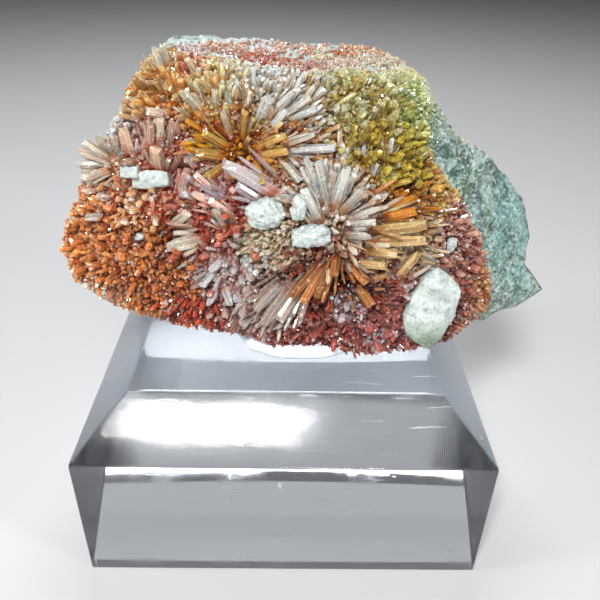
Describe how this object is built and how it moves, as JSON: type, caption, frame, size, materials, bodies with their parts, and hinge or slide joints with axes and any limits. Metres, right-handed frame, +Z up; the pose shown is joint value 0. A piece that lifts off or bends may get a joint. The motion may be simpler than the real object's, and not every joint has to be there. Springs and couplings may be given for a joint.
{
  "type": "creedite cluster on a display block",
  "caption": "Spiky orange and clear creedite crystals crusting a grey-green rock, puttied to a clear acrylic display block with a bevelled top.",
  "frame": {"origin": "centre of the acrylic block's underside", "axes": "+X to the right as one faces the crystals, +Y from the crystal face to the rock's back, +Z up"},
  "size_m": [0.0641, 0.0508, 0.0615],
  "materials": {
    "acrylic": "clear polished acrylic, fine saw marks on the bevel and light scratches",
    "putty": "soft white mineral tack, pressed by hand",
    "rock": "rough broken stone, dull",
    "creedite": "vitreous crystals, clear at the tips and orange-red at the roots",
    "white_mineral": "chalky white, slightly fibrous"
  },
  "bodies": {
    "root": {"acrylic_base": "acrylic", "mounting_putty": "putty", "matrix_rock": "rock", "creedite_crystals": "creedite", "white_tablet": "white_mineral", "white_lump_left": "white_mineral", "white_lump_middle": "white_mineral", "white_block": "white_mineral", "large_white_lump": "white_mineral", "white_grain_left": "white_mineral", "white_grain_right": "white_mineral"}
  },
  "joints": []
}
